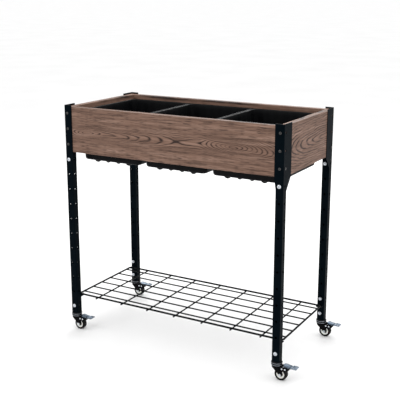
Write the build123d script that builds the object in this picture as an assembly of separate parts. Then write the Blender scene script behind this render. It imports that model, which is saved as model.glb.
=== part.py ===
from build123d import *
import math
import os

# Raised planter on legs: an open box of four wood-composite boards, three lift-out trays,
# four perforated steel legs, a welded wire shelf and four braked swivel casters.
# Millimetres, +Z up. X runs along the length and -Y is the front. The origin is on the floor,
# midway between the four legs. The casters trail towards +X.

# ---- overall sizes ----
length = 760.0            # over the outer faces of the legs, along X
depth = 376.0             # over the outer faces of the legs, along Y

# ---- legs: square tube below the box, an angle with a wide side flange beside it ----
leg_length = 700.0
leg_size = 24.0
leg_wall = 1.5
leg_radius = 2.5
front_flange = 28.0       # width of the angle on the long sides
side_flange = 52.0        # width of the angle on the ends
flange_drop = 3.0         # the full-width flanges reach this far below the boards
taper_height = 37.0       # over which the flanges narrow down to the tube
hole_pitch = 50.0
hole_margin = 25.0        # from the top of the leg to its first hole, and least at its foot
hole_diameter = 7.0

# ---- boards ----
board_height = 145.0
board_thickness = 20.0
board_setdown = 5.0       # the boards stop this far below the top of the legs
board_round = 1.5

# ---- trays and the rails that carry them ----
tray_count = 3
tray_end_gap = 6.0        # between an end board and the rim beside it
tray_rim_gap = 3.0        # between the rims of two trays
tray_side_gap = 1.0       # between a rim and the rail beside it
tray_setdown = 12.0       # rim below the top of the boards
tray_height = 160.0
tray_wall = 2.5
tray_top_inset_x = 6.0    # rim edge to the body below it, along X
tray_draft_x = 5.0        # how far each side leans in from rim to floor, along X
tray_draft_y = 9.0
tray_radius = 16.0
foot_height = 7.0
foot_radius = 7.0
foot_spread = 120.0       # between the two large feet of a row
foot_inset = 13.0         # large foot centre to the edge of the floor
nub_height = 5.5
nub_radius = 5.0
nub_spread = 40.0
nub_inset = 13.0
foot_taper = 0.55         # tip of a foot, as a share of its root
floor_radius_less = 3.0   # floor corners are this much tighter than the rim's
drain_diameter = 8.0
drain_spread_x = 80.0
drain_spread_y = 136.0
rail_width = 14.0
rail_drop = 20.0
rail_wall = 2.0
rail_end_gap = 8.0        # rail end to end board
lift_gap = 0.3            # under a tray rim

# ---- wire shelf ----
shelf_rise = 30.0         # centre of the rim wire above the lowest leg hole
shelf_end_inset = 3.0     # rim wire inside the ends of the legs
shelf_leg_gap = 10.0      # rim wire to the leg beside it, along Y
shelf_corner = 9.0
rim_wire = 6.0
grid_wire = 4.6
weld_sink = 0.4           # how far a welded wire sinks into the one it crosses
long_wires = 6
long_wire_margin = 26.5   # centre of the rim wire to the long wire beside it
cross_wires = 7
cross_wire_margin = 71.5
wire_end = 3.0            # cross wires stand this far out past the rim

# ---- clips and brackets ----
plate = 2.0
clip_width = 18.0
clip_top_margin = 9.0     # plate edge to the nearest bolt
clip_lip = 5.0
clip_finger = 4.5         # width of the hook, which stays off the bend of the rim wire
bracket_ledge = 26.0
bracket_tail = 10.0       # bracket plate below its bolt

# ---- fasteners ----
bolt_shank = 6.0
bolt_head = 12.0
bolt_head_height = 3.6
nut_flats = 10.0
nut_height = 5.0
bolt_tail = 3.0
bolt_clearance = 15.0     # bottom of the box to the bolts under it, at least
screw_shank = 4.4
screw_head = 8.6
screw_head_height = 2.4
screw_grip = 30.0         # into the end grain of an end board
screw_clearance = 8.0     # lowest screw to the edge of the board, at least
side_screw_grip = 7.0
rail_screw_count = 4
rail_screw_margin = 31.9  # end of a rail to its first screw
rail_screw_grip = 14.0
rail_screw_drop = 12.0    # below the top of the rail
pan_dome = ((0.55, 1.0), (0.88, 0.62), (1.0, 0.15))     # shares of a head's radius and height

# ---- casters ----
wheel_diameter = 38.0
wheel_width = 16.0
tyre_thickness = 6.4
tyre_shoulder = 2.0       # over which the side of the tread rounds off
tyre_edge = 0.6
hub_sleeve = 5.5          # radius of the sleeve round the axle
hub_dish = 2.0            # web of the core behind the side of the tread
hub_lip = 0.8
hub_chamfer = 1.5
trail = 15.0              # axle behind the swivel axis
axle_diameter = 6.0
axle_head = 10.0
axle_head_height = 2.5
axle_nut_height = 3.5
axle_end = 1.0            # axle past its nut
fork_gap = 0.8            # wheel to cheek, each side
fork_sheet = 1.8
race_diameter = 34.0
race_bevel = 1.5
upper_race_height = 5.5
lower_race_height = 4.9
race_gap = 0.6
race_step = 0.5           # radius of the lower race under that of the upper one
pin_diameter = 8.0
pin_head = 13.0
pin_head_height = 2.2
pin_head_bevel = 1.0
stem_diameter = 10.0
stem_length = 18.0
socket_length = 40.0
socket_flange = 1.5
running_gap = 0.05        # radial, shaft in hole
end_gap = 0.3             # along a shaft
cheek_front = 11.0        # front edge of a cheek, ahead of the swivel axis
cheek_front_depth = 6.0   # of that edge, from the top of the fork down
cheek_end = 5.0           # radius of a cheek round the axle
cheek_back = 8.0          # back edge of a cheek behind the axle, under the ear
ear_reach = 37.0          # end of the ear, behind the swivel axis
ear_depth = 10.0          # ear below the top of the fork
ear_slant = 1.0           # deeper where it meets the cheek
ear_corner = 3.0
rivet_diameter = 3.0
rivet_head = 5.0
rivet_head_height = 1.0
pivot_reach = 30.5        # pedal pivot behind the swivel axis
stop_reach = 20.5
rivet_drop = 5.5          # pivot below the top of the fork
pedal_sheet = 1.6
pedal_side_gap = 0.6      # ear of the pedal to the cheek beside it
pedal_eye = 3.6           # sheet round the pivot hole
pedal_start = 24.0        # near end of the lever, behind the swivel axis
pedal_step = 45.0         # where the lever widens into the foot plate
pedal_reach = 66.0
lever_width = 18.0
foot_width = 24.0
lever_rise = 7.5          # near end of the lever above the top of the fork
lever_fall = 3.0          # from there to the step
step_fall = 2.0           # down the step and along it
foot_fall = 0.5           # along the foot plate
ear_inset = 2.0           # near end of the lever to the ears under it
shoe_width = 12.0
shoe_root = (2.0, -3.0)   # near corner of the shoe, from the pivot along and up
shoe_toe = (3.5, -8.0)    # corner nearest the tread
shoe_heel = (8.0, -5.5)
shoe_back_rise = 5.0      # foot of its back face above the pivot

# ---- levels and faces worked out from the sizes above ----
wheel_radius = wheel_diameter / 2
fork_sheet_top = wheel_diameter + 6.5
lower_race_top = fork_sheet_top + lower_race_height
upper_race_bottom = lower_race_top + race_gap
upper_race_top = upper_race_bottom + upper_race_height
leg_bottom = upper_race_top + socket_flange
leg_top = leg_bottom + leg_length
board_top = leg_top - board_setdown
board_bottom = board_top - board_height
flange_bottom = board_bottom - flange_drop
taper_bottom = flange_bottom - taper_height
half_length = length / 2
half_depth = depth / 2
post_x = half_length - leg_size / 2
post_y = half_depth - leg_size / 2
board_face_x = half_length - leg_wall
board_face_y = half_depth - leg_wall
inner_x = board_face_x - board_thickness
inner_y = board_face_y - board_thickness
tray_pitch = (2 * (inner_x - tray_end_gap) + tray_rim_gap) / tray_count
rim_top = board_top - tray_setdown
rail_top = rim_top - tray_wall - lift_gap
leg_inner_y = half_depth - leg_size
hole_count = int((leg_length - 2 * hole_margin) // hole_pitch) + 1
last_hole = hole_count - 1
screw_count = int((leg_top - board_bottom - screw_clearance - hole_margin) // hole_pitch) + 1
bolt_level_box = math.ceil((leg_top - board_bottom + bolt_clearance - hole_margin) / hole_pitch)
shelf_levels_back = (last_hole - 1, last_hole)
shelf_levels_front = (last_hole,)
shelf_height = leg_top - hole_margin - last_hole * hole_pitch + shelf_rise
cheek_inner = wheel_width / 2 + fork_gap
cheek_outer = cheek_inner + fork_sheet
corners = {
    "front_left": (-1, -1),
    "front_right": (1, -1),
    "back_left": (-1, 1),
    "back_right": (1, 1),
}


def level(number):
    """Height of a numbered leg hole above the floor; number 0 is the top one."""
    return leg_top - hole_margin - number * hole_pitch


def slab(x0, x1, y0, y1, z0, z1):
    """Block between two opposite corners, given in any order."""
    centre = Pos((x0 + x1) / 2, (y0 + y1) / 2, (z0 + z1) / 2)
    return centre * Box(abs(x1 - x0), abs(y1 - y0), abs(z1 - z0))


def rod(radius, start, end):
    """Round bar from one point to another, along one axis."""
    path = Vector(*end) - Vector(*start)
    plane = Plane(origin=start, z_dir=path.normalized())
    return extrude(plane * Circle(radius), path.length)


def turned(profile):
    """Solid of revolution about Z from a list of (radius, height) points."""
    wire = Polyline([(r, 0, z) for r, z in profile], close=True)
    return revolve(make_face(wire), Axis.Z, 360)


def upright(points, y0, y1):
    """Plate whose outline lies in the XZ plane, from y0 to y1."""
    face = make_face(Polyline([(x, y0, z) for x, z in points], close=True))
    return extrude(face, y1 - y0, dir=(0, 1, 0))


def leg(sx, sy):
    """Square tube that opens into an angle beside the box, drilled at every level."""
    tube = RectangleRounded(leg_size, leg_size, leg_radius)
    tube -= RectangleRounded(leg_size - 2 * leg_wall, leg_size - 2 * leg_wall, leg_radius - leg_wall)
    body = Pos(sx * post_x, sy * post_y, leg_bottom) * extrude(tube, board_bottom - leg_bottom)

    def outline(inset_x, inset_y):
        return (sx * (half_length - inset_x), sy * (half_depth - inset_y), board_bottom)

    angle = make_face(Polyline([outline(*p) for p in (
        (0, 0), (front_flange, 0), (front_flange, leg_wall),
        (leg_wall, leg_wall), (leg_wall, side_flange), (0, side_flange),
    )], close=True))
    angle = extrude(angle, leg_top - board_bottom, dir=(0, 0, 1))
    edges = angle.edges().filter_by(Axis.Z)
    bend = edges.sort_by(lambda e: -abs(e.center().X) - abs(e.center().Y))[0]
    body += fillet(bend, leg_radius)

    side = make_face(Polyline([(sx * half_length, sy * (half_depth - b), z) for b, z in (
        (leg_size / 2, board_bottom), (side_flange, board_bottom), (side_flange, flange_bottom),
        (leg_size - leg_wall, taper_bottom), (leg_size / 2, taper_bottom),
    )], close=True))
    body += extrude(side, leg_wall, dir=(-sx, 0, 0))
    front = make_face(Polyline([(sx * (half_length - a), sy * half_depth, z) for a, z in (
        (leg_size / 2, board_bottom), (front_flange, board_bottom), (front_flange, flange_bottom),
        (leg_size - leg_wall, taper_bottom), (leg_size / 2, taper_bottom),
    )], close=True))
    body += extrude(front, leg_wall, dir=(0, -sy, 0))

    reach = leg_size / 2 + leg_wall
    drills = []
    for number in range(hole_count):
        z = level(number)
        x, y = sx * post_x, sy * post_y
        drills.append(rod(hole_diameter / 2, (x - reach, y, z), (x + reach, y, z)))
        drills.append(rod(hole_diameter / 2, (x, y - reach, z), (x, y + reach, z)))
    return body - drills


def screw(head_face, direction, grip, shank=None, head=None, head_height=None):
    """Pan-head screw seated at a point, its shank running along direction."""
    shank = shank or screw_shank
    head = head or screw_head
    head_height = head_height or screw_head_height
    r = head / 2
    dome = [(r * wide, -head_height * high) for wide, high in pan_dome]
    profile = [(0, -head_height)] + dome + [(r, 0), (shank / 2, 0), (shank / 2, grip), (0, grip)]
    return Plane(origin=head_face, z_dir=direction) * turned(profile)


def nut(face, direction):
    """Hexagon nut on a plate face, standing out along direction."""
    ring = RegularPolygon(nut_flats / 2, 6, major_radius=False) - Circle(bolt_shank / 2)
    return extrude(Plane(origin=face, z_dir=direction) * ring, nut_height)


def long_screw_grip():
    """Shank of a corner screw: through flange and board, then into the end board."""
    return leg_wall + board_thickness + screw_grip


def corner_screws():
    """Three long screws through the front flange of each leg and one short one at its side."""
    made = []
    for sx, sy in corners.values():
        for number in range(screw_count):
            face = (sx * post_x, sy * half_depth, level(number))
            made.append(screw(face, (0, -sy, 0), long_screw_grip()))
        face = (sx * half_length, sy * post_y, level(screw_count - 1))
        made.append(screw(face, (-sx, 0, 0), leg_wall + side_screw_grip))
    return made


def rail_screws():
    """Screws that hold each tray rail to its board, from inside the box."""
    made = []
    reach = inner_x - rail_end_gap - rail_screw_margin
    for sy in (-1, 1):
        for i in range(rail_screw_count):
            x = reach * (2 * i / (rail_screw_count - 1) - 1)
            face = (x, sy * (inner_y - rail_wall), rail_top - rail_screw_drop)
            made.append(screw(face, (0, sy, 0), rail_wall + rail_screw_grip))
    return made


def long_board(sy):
    """Front or back board, running to the side flanges of the legs."""
    board = slab(-board_face_x, board_face_x, sy * inner_y, sy * board_face_y, board_bottom, board_top)
    return fillet(board.edges().filter_by(Axis.X), board_round)


def end_board(sx):
    """End board, butted between the front and the back board."""
    board = slab(sx * inner_x, sx * board_face_x, -inner_y, inner_y, board_bottom, board_top)
    return fillet(board.edges().filter_by(Axis.Y), board_round)


def tray(x):
    """Thin tapered tray with a flat rim, feet under its floor and drain holes."""
    rim_x = tray_pitch - tray_rim_gap
    rim_y = 2 * (inner_y - rail_wall - tray_side_gap)
    top_x = rim_x - 2 * tray_top_inset_x
    top_y = 2 * (inner_y - rail_width - 2 * tray_side_gap)
    floor_x = top_x - 2 * tray_draft_x
    floor_y = top_y - 2 * tray_draft_y
    floor_z = rim_top - tray_height

    def bowl(inset, low, radius):
        sections = Sketch() + [
            Pos(x, 0, low) * RectangleRounded(floor_x - inset, floor_y - inset, radius - floor_radius_less),
            Pos(x, 0, rim_top) * RectangleRounded(top_x - inset, top_y - inset, radius),
        ]
        return loft(sections)

    outer = bowl(0, floor_z, tray_radius)
    inner = bowl(2 * tray_wall, floor_z + tray_wall, tray_radius - tray_wall)
    rim = Pos(x, 0, rim_top - tray_wall) * extrude(RectangleRounded(rim_x, rim_y, tray_radius), tray_wall)
    body = outer + rim
    for sx in (-1, 1):
        for sy in (-1, 1):
            feet = ((foot_spread, foot_inset, foot_radius, foot_height),
                    (nub_spread, nub_inset, nub_radius, nub_height))
            for spread, inset, radius, height in feet:
                place = Pos(x + sx * spread / 2, sy * (floor_y / 2 - inset), floor_z - height / 2)
                body += place * Cone(radius * foot_taper, radius, height)
    body -= inner
    drain = Pos(x, 0, floor_z) * Cylinder(drain_diameter / 2, 4 * tray_wall)
    drains = [Pos(sx * drain_spread_x / 2, sy * drain_spread_y / 2, 0) * drain
              for sx in (-1, 1) for sy in (-1, 1)]
    return body - drains


def rail(sy):
    """Steel angle along a long board; a tray rim lies on its flat leg."""
    end = inner_x - rail_end_gap
    flat = slab(-end, end, sy * inner_y, sy * (inner_y - rail_width), rail_top - rail_wall, rail_top)
    back = slab(-end, end, sy * inner_y, sy * (inner_y - rail_wall), rail_top - rail_drop, rail_top)
    return flat + back


def bracket(sx, sy):
    """Angle bolted inside a leg, with a ledge under the end board."""
    half = board_thickness / 2
    x = sx * (board_face_x - half)
    foot = level(bolt_level_box) - bracket_tail
    back = slab(x - half, x + half, sy * leg_inner_y, sy * (leg_inner_y - plate), foot, board_bottom)
    ledge = slab(x - half, x + half, sy * leg_inner_y, sy * (leg_inner_y - bracket_ledge),
                 board_bottom - plate, board_bottom)
    y = sy * leg_inner_y
    z = level(bolt_level_box)
    hole = rod(bolt_shank / 2, (sx * post_x, y - sy * 2 * plate, z), (sx * post_x, y + sy, z))
    return back + ledge - hole


def bolt(sx, sy, number):
    """Pan-head bolt through a leg from its outer face, along Y."""
    grip = leg_size + plate + nut_height + bolt_tail
    face = (sx * post_x, sy * half_depth, level(number))
    return screw(face, (0, -sy, 0), grip, bolt_shank, bolt_head, bolt_head_height)


def bolt_nut(sx, sy, number):
    """Nut of such a bolt, on the plate inside the leg."""
    return nut((sx * post_x, sy * (leg_inner_y - plate), level(number)), (0, -sy, 0))


def shelf_half_y():
    """Outer face of the shelf's rim wire, from the middle."""
    return leg_inner_y - shelf_leg_gap


def wire_shelf():
    """Rim wire bent to a rounded rectangle, with long wires and cross wires welded to it."""
    half_x = half_length - shelf_end_inset - rim_wire / 2
    half_y = shelf_half_y() - rim_wire / 2
    loop = Pos(0, 0, shelf_height) * RectangleRounded(2 * half_x, 2 * half_y, shelf_corner)
    path = loop.wires()[0]
    start = path @ 0
    body = sweep(Plane(origin=start, z_dir=path % 0) * Circle(rim_wire / 2), path=path)
    cross_z = shelf_height - (rim_wire + grid_wire) / 2 + weld_sink
    long_z = cross_z + grid_wire - weld_sink
    for i in range(long_wires):
        y = (half_y - long_wire_margin) * (2 * i / (long_wires - 1) - 1)
        body += rod(grid_wire / 2, (-half_x, y, long_z), (half_x, y, long_z))
    end = half_y + rim_wire / 2 + wire_end
    for i in range(cross_wires):
        x = (half_x - cross_wire_margin) * (2 * i / (cross_wires - 1) - 1)
        body += rod(grid_wire / 2, (x, -end, cross_z), (x, end, cross_z))
    return body


def shelf_clip(sx, sy):
    """Plate bolted inside a leg, with a hook that carries the rim wire."""
    x = sx * post_x
    half = clip_width / 2
    y = sy * leg_inner_y
    top = level(shelf_levels_back[0]) + clip_top_margin
    foot = level(shelf_levels_back[-1]) - clip_top_margin
    rim_y = sy * shelf_half_y()
    under = shelf_height - rim_wire / 2
    back = slab(x - half, x + half, y, y - sy * plate, foot, top)
    tongue = slab(x - half, x + half, y, rim_y - sy * rim_wire, under - plate, under)
    inner = x - sx * half
    hook_end = rim_y - sy * (rim_wire + plate)
    hook = slab(inner, inner + sx * clip_finger, y, hook_end, under - plate, under)
    lip = slab(inner, inner + sx * clip_finger, hook_end, hook_end + sy * plate, under - plate, under + clip_lip)
    body = back + tongue + hook + lip
    for number in shelf_levels_back:
        z = level(number)
        body -= rod(bolt_shank / 2, (x, y - sy * 2 * plate, z), (x, y + sy, z))
    return body


def stem_socket(sx, sy):
    """Plug in the foot of a leg that takes the caster stem and the lowest bolt."""
    inner = leg_size - 2 * leg_wall
    plug = extrude(RectangleRounded(inner, inner, leg_radius - leg_wall), socket_length)
    cover = Pos(0, 0, -socket_flange) * extrude(RectangleRounded(leg_size, leg_size, leg_radius), socket_flange)
    bore = Pos(0, 0, stem_length / 2 - socket_flange) * Cylinder(stem_diameter / 2, stem_length)
    body = Pos(sx * post_x, sy * post_y, leg_bottom) * (plug + cover - bore)
    z = level(shelf_levels_front[0])
    y0, y1 = sy * post_y - leg_size, sy * post_y + leg_size
    return body - rod(bolt_shank / 2, (sx * post_x, y0, z), (sx * post_x, y1, z))


def caster_stem():
    """Fixed half of the swivel: stem, upper race and the pin that the fork turns on."""
    bottom = fork_sheet_top - fork_sheet - end_gap
    head_z = bottom - pin_head_height
    r = race_diameter / 2
    return turned([
        (0, head_z), (pin_head / 2 - pin_head_bevel, head_z), (pin_head / 2, head_z + pin_head_bevel),
        (pin_head / 2, bottom), (pin_diameter / 2, bottom), (pin_diameter / 2, upper_race_bottom),
        (r - race_bevel, upper_race_bottom), (r, upper_race_bottom + race_bevel),
        (r, upper_race_top - race_bevel), (r - race_bevel, upper_race_top),
        (stem_diameter / 2, upper_race_top), (stem_diameter / 2, upper_race_top + stem_length),
        (0, upper_race_top + stem_length),
    ])


def lower_race():
    """Ball race that turns with the fork."""
    r = race_diameter / 2 - race_step
    bore = pin_diameter / 2 + running_gap
    return turned([
        (bore, fork_sheet_top), (r - race_bevel, fork_sheet_top), (r, fork_sheet_top + race_bevel),
        (r, lower_race_top - race_bevel), (r - race_bevel, lower_race_top), (bore, lower_race_top),
    ])


def fork():
    """Bent sheet yoke: round top plate, two cheeks and an ear behind for the brake."""
    top = fork_sheet_top
    axle_z = wheel_radius
    ear = top - ear_depth
    outline = [(-cheek_front, top), (ear_reach, top), (ear_reach, ear + ear_corner),
               (ear_reach - ear_corner, ear), (trail + cheek_back, ear - ear_slant),
               (trail + cheek_end, axle_z), (trail - cheek_end, axle_z),
               (-cheek_front, top - cheek_front_depth)]
    body = Pos(0, 0, top - fork_sheet / 2) * Cylinder(race_diameter / 2 - race_bevel, fork_sheet)
    body += slab(-cheek_front, race_diameter / 2, -cheek_outer, cheek_outer, top - fork_sheet, top)
    for side in (-1, 1):
        y0, y1 = sorted((side * cheek_inner, side * cheek_outer))
        body += upright(outline, y0, y1)
        body += rod(cheek_end, (trail, y0, axle_z), (trail, y1, axle_z))
    body -= Pos(0, 0, top) * Cylinder(pin_diameter / 2 + running_gap, 4 * fork_sheet)
    reach = 2 * cheek_outer
    body -= rod(axle_diameter / 2, (trail, -reach, axle_z), (trail, reach, axle_z))
    for x in (pivot_reach, stop_reach):
        z = top - rivet_drop
        body -= rod(rivet_diameter / 2, (x, -reach, z), (x, reach, z))
    return body


def axle():
    """Axle bolt with a domed head on one side and a nut on the other."""
    z = wheel_radius
    grip = 2 * cheek_outer + axle_nut_height + axle_end
    bolt = screw((trail, cheek_outer, z), (0, -1, 0), grip, axle_diameter, axle_head, axle_head_height)
    face = Plane(origin=(trail, -cheek_outer, z), z_dir=(0, -1, 0))
    hexagon = RegularPolygon(nut_flats / 2, 6, major_radius=False)
    return bolt + extrude(face * hexagon, axle_nut_height)


def wheel_hub():
    """Pale moulded wheel core: sleeve, web and rim under the tyre."""
    rim = wheel_radius - tyre_thickness
    half = wheel_width / 2
    bore = axle_diameter / 2 + running_gap
    end = half + fork_gap - end_gap
    web = half - hub_dish
    lip = half - hub_lip
    side = [(bore, end), (hub_sleeve, end), (hub_sleeve, web), (rim - hub_dish, web),
            (rim - hub_chamfer, lip), (rim, lip)]
    profile = [(r, -y) for r, y in side] + side[::-1]
    return Plane(origin=(trail, 0, wheel_radius), z_dir=(0, 1, 0)) * turned(profile)


def tyre():
    """Black tread ring with rounded shoulders."""
    rim = wheel_radius - tyre_thickness
    half = wheel_width / 2
    side = [(rim, half), (wheel_radius - tyre_shoulder, half), (wheel_radius - tyre_edge, half - tyre_edge),
            (wheel_radius, half - tyre_shoulder)]
    profile = [(r, -y) for r, y in side] + side[::-1]
    return Plane(origin=(trail, 0, wheel_radius), z_dir=(0, 1, 0)) * turned(profile)


def brake_rivets():
    """Pivot rivet of the pedal and the rivet in front of it."""
    made = []
    z = fork_sheet_top - rivet_drop
    for x in (pivot_reach, stop_reach):
        pin = rod(rivet_diameter / 2, (x, -cheek_outer, z), (x, cheek_outer, z))
        for side in (-1, 1):
            y = side * cheek_outer
            pin += rod(rivet_head / 2, (x, y, z), (x, y + side * rivet_head_height, z))
        made.append(pin)
    return made


def pedal_line():
    """Underside of the lever: sloping down from its near end, with a small step to the foot plate."""
    z = fork_sheet_top + lever_rise - pedal_sheet
    step_z = z - lever_fall
    foot_z = step_z - step_fall
    return [(pedal_start, z), (pedal_step, step_z), (pedal_step + step_fall, foot_z),
            (pedal_reach, foot_z - foot_fall)]


def brake_pedal():
    """Pressed steel lever: sloping top, wider foot plate and two ears on the pivot rivet."""
    z = fork_sheet_top - rivet_drop
    near, step, foot, tip = pedal_line()

    def sheet(points, half):
        upper = [(x, height + pedal_sheet) for x, height in reversed(points)]
        return upright(points + upper, -half, half)

    body = sheet([near, step, foot], lever_width / 2) + sheet([foot, tip], foot_width / 2)
    half = cheek_inner - pedal_side_gap
    ear_x = pedal_start + ear_inset
    ear = [(ear_x, near[1]), (pivot_reach - pedal_eye, z), (pivot_reach + pedal_eye, z), step,
           (step[0], step[1] + pedal_sheet), (ear_x, near[1] + pedal_sheet)]
    for side in (-1, 1):
        y0, y1 = sorted((side * half, side * (half - pedal_sheet)))
        body += upright(ear, y0, y1)
        body += rod(pedal_eye, (pivot_reach, y0, z), (pivot_reach, y1, z))
    reach = 2 * half
    bore = rivet_diameter / 2 + running_gap
    return body - rod(bore, (pivot_reach, -reach, z), (pivot_reach, reach, z))


def brake_shoe():
    """Rubber pad under the lever; pressing the foot plate swings it down to the tyre."""
    half = shoe_width / 2
    pivot_z = fork_sheet_top - rivet_drop
    step_x, step_z = pedal_line()[1]
    pad = [(pivot_reach + along, pivot_z + up) for along, up in (shoe_root, shoe_toe, shoe_heel)]
    root_x = pad[0][0]
    root_top = step_z + (step_x - root_x) * lever_fall / (step_x - pedal_start)
    outline = pad + [(step_x, pivot_z + shoe_back_rise), (step_x, step_z), (root_x, root_top)]
    return upright(outline, -half, half)


parts = {}
for name, (sx, sy) in corners.items():
    parts["leg_" + name] = [leg(sx, sy)]
holes = corner_screws() + rail_screws()
parts["board_front"] = [long_board(-1) - holes]
parts["board_back"] = [long_board(1) - holes]
parts["board_left"] = [end_board(-1) - holes]
parts["board_right"] = [end_board(1) - holes]
parts["board_screws"] = corner_screws()
parts["tray_rail_front"] = [rail(-1) - holes]
parts["tray_rail_back"] = [rail(1) - holes]
parts["rail_screws"] = rail_screws()
for i, name in enumerate(("left", "middle", "right")):
    parts["tray_" + name] = [tray((i - (tray_count - 1) / 2) * tray_pitch)]
parts["board_brackets"] = [bracket(sx, sy) for sx, sy in corners.values()]
parts["bracket_bolts"] = [bolt(sx, sy, bolt_level_box) for sx, sy in corners.values()]
parts["bracket_nuts"] = [bolt_nut(sx, sy, bolt_level_box) for sx, sy in corners.values()]
parts["wire_shelf"] = [wire_shelf()]
parts["shelf_clips"] = [shelf_clip(sx, sy) for sx, sy in corners.values()]
shelf_places = [(sx, sy, number) for sx, sy in corners.values()
                for number in (shelf_levels_back if sy > 0 else shelf_levels_front)]
parts["shelf_bolts"] = [bolt(*place) for place in shelf_places]
parts["shelf_nuts"] = [bolt_nut(*place) for place in shelf_places]
parts["stem_sockets"] = [stem_socket(sx, sy) for sx, sy in corners.values()]
caster = {
    "stem": [caster_stem()],
    "race": [lower_race()],
    "fork": [fork()],
    "axle": [axle()],
    "hub": [wheel_hub()],
    "tyre": [tyre()],
    "rivets": brake_rivets(),
    "pedal": [brake_pedal()],
    "shoe": [brake_shoe()],
}
for name, (sx, sy) in corners.items():
    for piece, solids in caster.items():
        parts[piece + "_" + name] = [Pos(sx * post_x, sy * post_y, 0) * s for s in solids]

os.makedirs("parts", exist_ok=True)
for name, solids in parts.items():
    flat = [s for piece in solids for s in piece.solids()]
    export_step(flat[0] if len(flat) == 1 else Compound(children=flat), "parts/" + name + ".step")
print(len(parts), "nodes")
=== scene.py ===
# %% [markdown]
# # A raised planter on legs
# A wood-look box stands on four black perforated legs, carries three lift-out trays, has a wire
# shelf below and rolls on four braked casters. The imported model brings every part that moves, fits
# or carries load. This file gives those parts their finishes, and swaps the boards, trays, wires,
# fasteners and wheels for closer-made ones in exactly the same places.

# %% The frame and the libraries
import math

import bmesh
import bpy
import numpy as np
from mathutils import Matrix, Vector


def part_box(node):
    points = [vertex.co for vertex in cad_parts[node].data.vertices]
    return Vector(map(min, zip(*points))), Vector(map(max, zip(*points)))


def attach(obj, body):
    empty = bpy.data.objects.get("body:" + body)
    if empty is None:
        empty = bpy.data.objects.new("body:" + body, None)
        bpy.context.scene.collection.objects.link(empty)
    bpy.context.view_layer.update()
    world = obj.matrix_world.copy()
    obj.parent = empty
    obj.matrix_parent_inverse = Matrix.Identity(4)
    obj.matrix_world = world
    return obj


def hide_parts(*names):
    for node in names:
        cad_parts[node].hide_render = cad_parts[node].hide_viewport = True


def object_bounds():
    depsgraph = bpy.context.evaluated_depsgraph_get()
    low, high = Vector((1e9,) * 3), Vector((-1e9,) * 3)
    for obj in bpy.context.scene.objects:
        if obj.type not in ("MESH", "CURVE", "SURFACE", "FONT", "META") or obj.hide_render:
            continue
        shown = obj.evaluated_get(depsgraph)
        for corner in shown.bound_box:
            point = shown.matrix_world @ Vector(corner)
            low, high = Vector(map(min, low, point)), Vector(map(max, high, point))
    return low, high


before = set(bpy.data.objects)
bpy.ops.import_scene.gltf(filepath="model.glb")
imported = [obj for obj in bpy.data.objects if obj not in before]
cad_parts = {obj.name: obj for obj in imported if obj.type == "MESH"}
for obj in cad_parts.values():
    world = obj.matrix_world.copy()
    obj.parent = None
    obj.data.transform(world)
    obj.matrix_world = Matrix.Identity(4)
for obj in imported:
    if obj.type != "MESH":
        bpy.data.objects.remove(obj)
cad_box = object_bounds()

MM = 0.001
SIGNS = dict(front_left=(-1, -1), front_right=(1, -1), back_left=(-1, 1), back_right=(1, 1))  # of X, Y
ROOT = "planter_frame"


def box_mm(node):
    """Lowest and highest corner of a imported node, as two arrays in millimetres."""
    low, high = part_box(node)
    return np.array(low) / MM, np.array(high) / MM


whole_low, whole_high = np.array(cad_box[0]) / MM, np.array(cad_box[1]) / MM
print("whole object, mm:", np.round(whole_high - whole_low, 1), "nodes:", len(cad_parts))

# %% [markdown]
# ## Surfaces from grids
# Almost every new piece is a grid of points: rings of a section, one after another along a path.
# Such a skin could be modelled by hand with loop cuts, but a formula gives exact sizes and can be
# changed in one place. One helper turns any stack of grids into a mesh, welds its seams and poles,
# and makes the faces point outwards.


# %% Grid to mesh
WELD = 1e-6  # points closer than this, in metres, become one


def grid_quads(rows, columns):
    """Corner numbers of every cell of a rows x columns grid, whose last column is joined to the first."""
    i, j = np.meshgrid(np.arange(rows - 1), np.arange(columns), indexing="ij")
    k = (j + 1) % columns
    corners = [i * columns + j, i * columns + k, (i + 1) * columns + k, (i + 1) * columns + j]
    return np.stack(corners, -1).reshape(-1, 4)


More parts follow.
